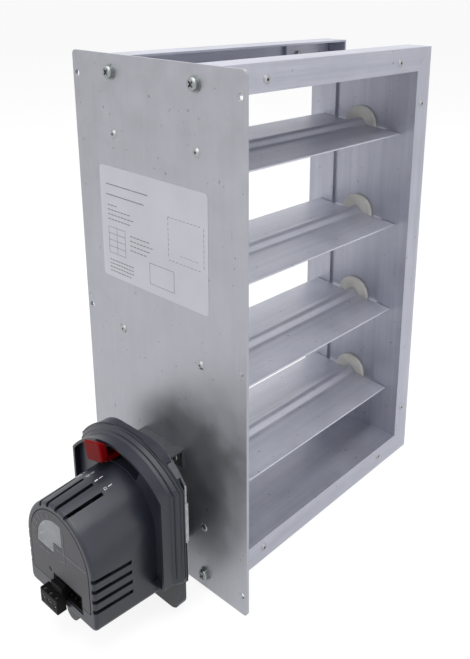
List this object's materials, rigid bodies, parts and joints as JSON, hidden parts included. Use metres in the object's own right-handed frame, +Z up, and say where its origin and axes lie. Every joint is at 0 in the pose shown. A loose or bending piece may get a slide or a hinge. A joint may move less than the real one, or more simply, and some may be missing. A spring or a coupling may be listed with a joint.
{
  "type": "duct zone damper",
  "caption": "Rectangular duct damper: mitred aluminium frame, parallel linked blades, side mounting plate and a spring return actuator with a red range lever.",
  "frame": {"origin": "centre of the mounting plate's duct side face", "axes": "X from the plate into the duct across the airflow, Y along the airflow towards the frame's rear, Z up along the plate's long side"},
  "size_m": [0.321, 0.154, 0.351],
  "materials": {
    "aluminium": "mill finish, fine extrusion lines and light scratches",
    "blade_aluminium": "mill finish extrusion with a bright front edge",
    "rivet_aluminium": "bright drawn aluminium",
    "zinc_steel": "zinc plated",
    "nylon": "moulded, ivory",
    "housing_plastic": "fine moulded texture, slate grey",
    "panel_plastic": "fine moulded texture, slightly lighter than the housing",
    "window": "clear moulded pane",
    "lamp": "smoked light pipe",
    "black_plastic": "moulded, black",
    "red_plastic": "moulded, satin",
    "gear_plastic": "moulded acetal",
    "disc_plastic": "moulded, pale grey",
    "brass": "machined",
    "board": "solder resist, green",
    "spring_steel": "blued strip"
  },
  "bodies": {
    "frame": {"mounting_plate": "aluminium", "frame_rail_top": "aluminium", "frame_rail_bottom": "aluminium", "frame_rail_near": "aluminium", "frame_rail_far": "aluminium", "corner_keys_front": "aluminium", "corner_keys_rear": "aluminium", "corner_rivets_front": "rivet_aluminium", "corner_rivets_rear": "rivet_aluminium", "plate_rivets": "rivet_aluminium", "plate_screws": "zinc_steel", "far_bushing_1": "nylon", "far_bushing_2": "nylon", "far_bushing_3": "nylon", "far_bushing_4": "nylon", "near_bushing_1": "nylon", "near_bushing_2": "nylon", "near_bushing_3": "nylon", "near_bushing_4": "nylon", "actuator_bracket": "zinc_steel", "bracket_screws": "zinc_steel", "actuator_base": "housing_plastic", "actuator_cover": "housing_plastic", "cover_screws": "zinc_steel", "front_panel": "panel_plastic", "indicator_window": "window", "status_lamp": "lamp", "terminal_header": "black_plastic", "idler_axle": "zinc_steel", "drive_motor": "zinc_steel", "return_spring": "spring_steel", "circuit_board": "board", "gear_plate": "zinc_steel", "gear_plate_screws": "zinc_steel", "mount_pad": "black_plastic"},
    "blade_set_1": {"blade_1": "blade_aluminium", "far_pin_1": "zinc_steel", "near_pin_1": "zinc_steel", "crank_1": "zinc_steel"},
    "blade_set_2": {"blade_2": "blade_aluminium", "far_pin_2": "zinc_steel", "near_pin_2": "zinc_steel", "crank_2": "zinc_steel"},
    "blade_set_3": {"blade_3": "blade_aluminium", "far_pin_3": "zinc_steel", "near_pin_3": "zinc_steel", "crank_3": "zinc_steel"},
    "drive_set": {"blade_4": "blade_aluminium", "far_pin_4": "zinc_steel", "drive_shaft": "zinc_steel", "crank_4": "zinc_steel", "output_hub": "gear_plastic", "sector_gear": "gear_plastic", "position_indicator": "disc_plastic"},
    "tie_rod_body": {"tie_rod": "zinc_steel"},
    "idler_body": {"idler_gear": "gear_plastic"},
    "rotor_body": {"motor_pinion": "brass"},
    "lever_body": {"range_stop_lever": "red_plastic"},
    "plug_body": {"terminal_plug": "black_plastic"}
  },
  "joints": [
    {"name": "damper_turn", "type": "hinge", "parent": "frame", "child": "drive_set", "pos_m": [0, 0, -0.111], "axis": [1, 0, 0], "range_deg": [0, 83]},
    {"name": "blade_turn_1", "type": "hinge", "parent": "frame", "child": "blade_set_1", "pos_m": [0, 0, 0.111], "axis": [1, 0, 0], "range_deg": [0, 83]},
    {"name": "blade_turn_2", "type": "hinge", "parent": "frame", "child": "blade_set_2", "pos_m": [0, 0, 0.037], "axis": [1, 0, 0], "range_deg": [0, 83]},
    {"name": "blade_turn_3", "type": "hinge", "parent": "frame", "child": "blade_set_3", "pos_m": [0, 0, -0.037], "axis": [1, 0, 0], "range_deg": [0, 83]},
    {"name": "tie_rod_pivot", "type": "hinge", "parent": "drive_set", "child": "tie_rod_body", "pos_m": [0, 0.01439, -0.12489], "axis": [1, 0, 0], "range_deg": [-83, 0]},
    {"name": "idler_turn", "type": "hinge", "parent": "frame", "child": "idler_body", "pos_m": [0, -0.009, -0.13804], "axis": [1, 0, 0], "range_deg": [-311.25, 0]},
    {"name": "motor_turn", "type": "hinge", "parent": "frame", "child": "rotor_body", "pos_m": [0, 0.0064, -0.13132], "axis": [1, 0, 0], "range_deg": [0, 778.12]},
    {"name": "range_lever_turn", "type": "hinge", "parent": "frame", "child": "lever_body", "pos_m": [0, 0, -0.111], "axis": [1, 0, 0], "range_deg": [-17.5, 35]},
    {"name": "plug_pull", "type": "slide", "parent": "frame", "child": "plug_body", "axis": [-1, 0, 0], "range_m": [0, 0.012]}
  ],
  "couplings": [
    {"joint": "blade_turn_1", "follows": "damper_turn", "ratio": 1},
    {"joint": "blade_turn_2", "follows": "damper_turn", "ratio": 1},
    {"joint": "blade_turn_3", "follows": "damper_turn", "ratio": 1},
    {"joint": "tie_rod_pivot", "follows": "damper_turn", "ratio": -1},
    {"joint": "idler_turn", "follows": "damper_turn", "ratio": -3.75},
    {"joint": "motor_turn", "follows": "damper_turn", "ratio": 9.375}
  ]
}
